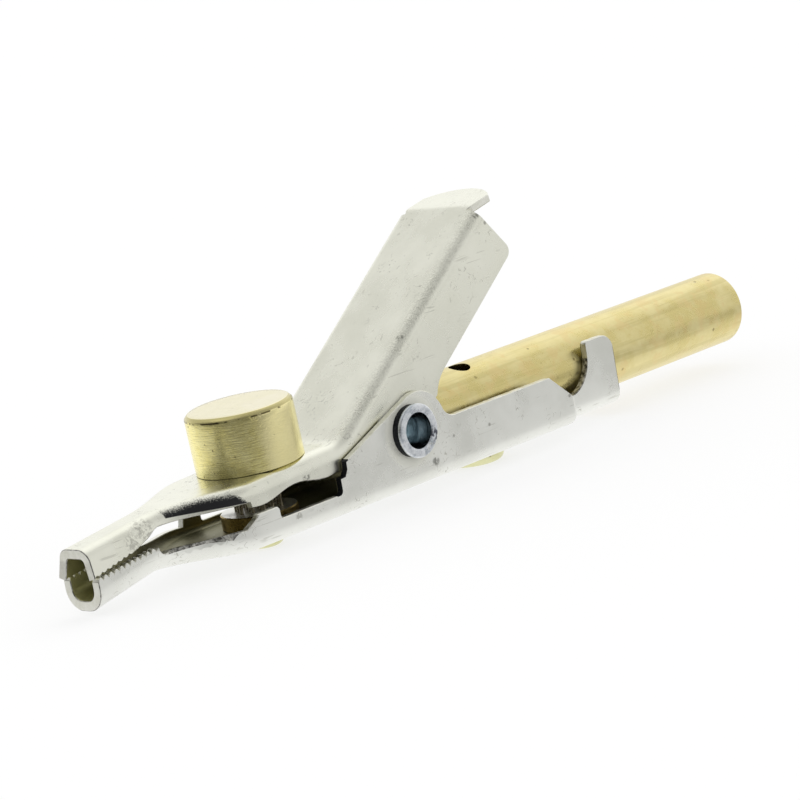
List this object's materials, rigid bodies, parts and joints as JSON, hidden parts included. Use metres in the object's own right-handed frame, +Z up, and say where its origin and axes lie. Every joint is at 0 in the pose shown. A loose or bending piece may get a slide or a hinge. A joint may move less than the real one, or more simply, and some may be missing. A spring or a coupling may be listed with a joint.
{
  "type": "bed of nails test clip",
  "caption": "Sprung sheet-metal test clip with toothed jaws, a disc of needle pins under a round brass stud, and a brass tube socket for a plug at the back.",
  "frame": {"origin": "under the middle of the clip's length, on the surface that it rests on", "axes": "+X to the open end of the tube, +Y to the left of the tube's way out, +Z up"},
  "size_m": [0.0764, 0.0118, 0.0216],
  "materials": {
    "nickel_plate": "bright nickel plate on stamped steel, lightly scuffed",
    "brass": "bare turned brass with fine tool lines",
    "zinc_plate": "bluish zinc plate on rolled steel",
    "spring_wire": "drawn spring steel wire",
    "nail_steel": "plated steel pins with ground tips"
  },
  "bodies": {
    "base": {"lower_jaw": "nickel_plate", "pivot_eyelet": "zinc_plate", "torsion_spring": "spring_wire", "nail_disc": "brass", "socket_tube": "brass", "tube_rivet": "brass", "nail_01": "nail_steel", "nail_02": "nail_steel", "nail_03": "nail_steel", "nail_04": "nail_steel", "nail_05": "nail_steel", "nail_06": "nail_steel", "nail_07": "nail_steel", "nail_08": "nail_steel", "nail_09": "nail_steel", "nail_10": "nail_steel", "nail_11": "nail_steel", "nail_12": "nail_steel", "nail_13": "nail_steel", "nail_14": "nail_steel", "nail_15": "nail_steel", "nail_16": "nail_steel", "nail_17": "nail_steel", "nail_18": "nail_steel", "nail_19": "nail_steel"},
    "lever": {"upper_lever": "nickel_plate", "contact_stud": "brass"}
  },
  "joints": [
    {"name": "jaw_pivot", "type": "hinge", "parent": "base", "child": "lever", "pos_m": [-0.00735, 0, 0.00575], "axis": [0, 1, 0], "range_deg": [0, 32], "stiffness_Nm_per_rad": 0.06, "springref_deg": -45.84, "deforming": ["torsion_spring"]}
  ]
}
